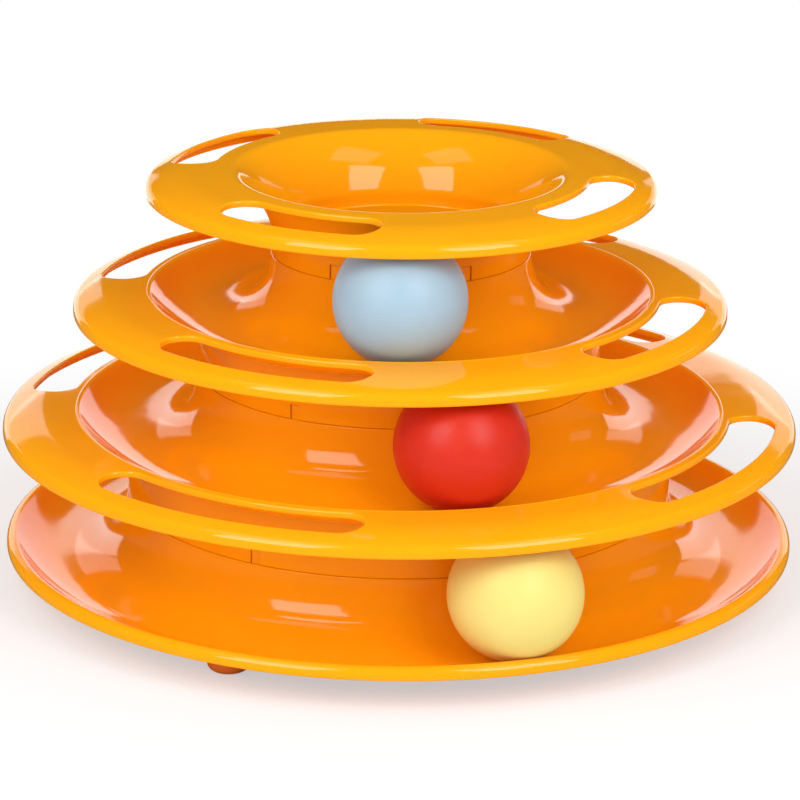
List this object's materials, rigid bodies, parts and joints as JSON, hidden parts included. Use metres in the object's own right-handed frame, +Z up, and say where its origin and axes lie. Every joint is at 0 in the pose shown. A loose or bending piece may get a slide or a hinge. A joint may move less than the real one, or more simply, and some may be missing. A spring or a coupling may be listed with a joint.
{
  "type": "cat ball track toy",
  "caption": "Round tower of stacked dish-shaped tiers with slotted flanges and an open top bowl; hollow balls roll round the open tracks between the tiers.",
  "frame": {"origin": "on the ground, under the vertical axis of the tower", "axes": "+Z up along the tower's axis, -Y to the front of the picture, +X to its right"},
  "size_m": [0.2476, 0.2476, 0.1293],
  "materials": {
    "tower_plastic": "glossy moulded orange polypropylene",
    "yellow_ball_plastic": "satin pale yellow",
    "red_ball_plastic": "satin red",
    "blue_ball_plastic": "satin pale blue",
    "foot_rubber": "soft red-orange rubber"
  },
  "bodies": {
    "base": {"base_tray": "tower_plastic", "foot_front_left": "foot_rubber", "foot_front_right": "foot_rubber", "foot_back_right": "foot_rubber", "foot_back_left": "foot_rubber"},
    "lower_tier": {"lower_tier": "tower_plastic"},
    "middle_tier": {"middle_tier": "tower_plastic"},
    "top_tier": {"top_tier": "tower_plastic"},
    "yellow_ball": {"yellow_ball_upper": "yellow_ball_plastic", "yellow_ball_lower": "yellow_ball_plastic"},
    "red_ball": {"red_ball_upper": "red_ball_plastic", "red_ball_lower": "red_ball_plastic"},
    "blue_ball": {"blue_ball_upper": "blue_ball_plastic", "blue_ball_lower": "blue_ball_plastic"}
  },
  "joints": [
    {"name": "lower_tier_lift", "type": "slide", "parent": "base", "child": "lower_tier", "axis": [0, 0, 1], "range_m": [0, 0.06]},
    {"name": "middle_tier_lift", "type": "slide", "parent": "lower_tier", "child": "middle_tier", "axis": [0, 0, 1], "range_m": [0, 0.06]},
    {"name": "top_tier_lift", "type": "slide", "parent": "middle_tier", "child": "top_tier", "axis": [0, 0, 1], "range_m": [0, 0.06]},
    {"name": "yellow_ball_run", "type": "hinge", "parent": "base", "child": "yellow_ball", "pos_m": [0, 0, 0.02], "axis": [0, 0, 1], "continuous": true},
    {"name": "red_ball_run", "type": "hinge", "parent": "lower_tier", "child": "red_ball", "pos_m": [0, 0, 0.06], "axis": [0, 0, 1], "continuous": true},
    {"name": "blue_ball_run", "type": "hinge", "parent": "middle_tier", "child": "blue_ball", "pos_m": [0, 0, 0.1], "axis": [0, 0, 1], "continuous": true}
  ]
}
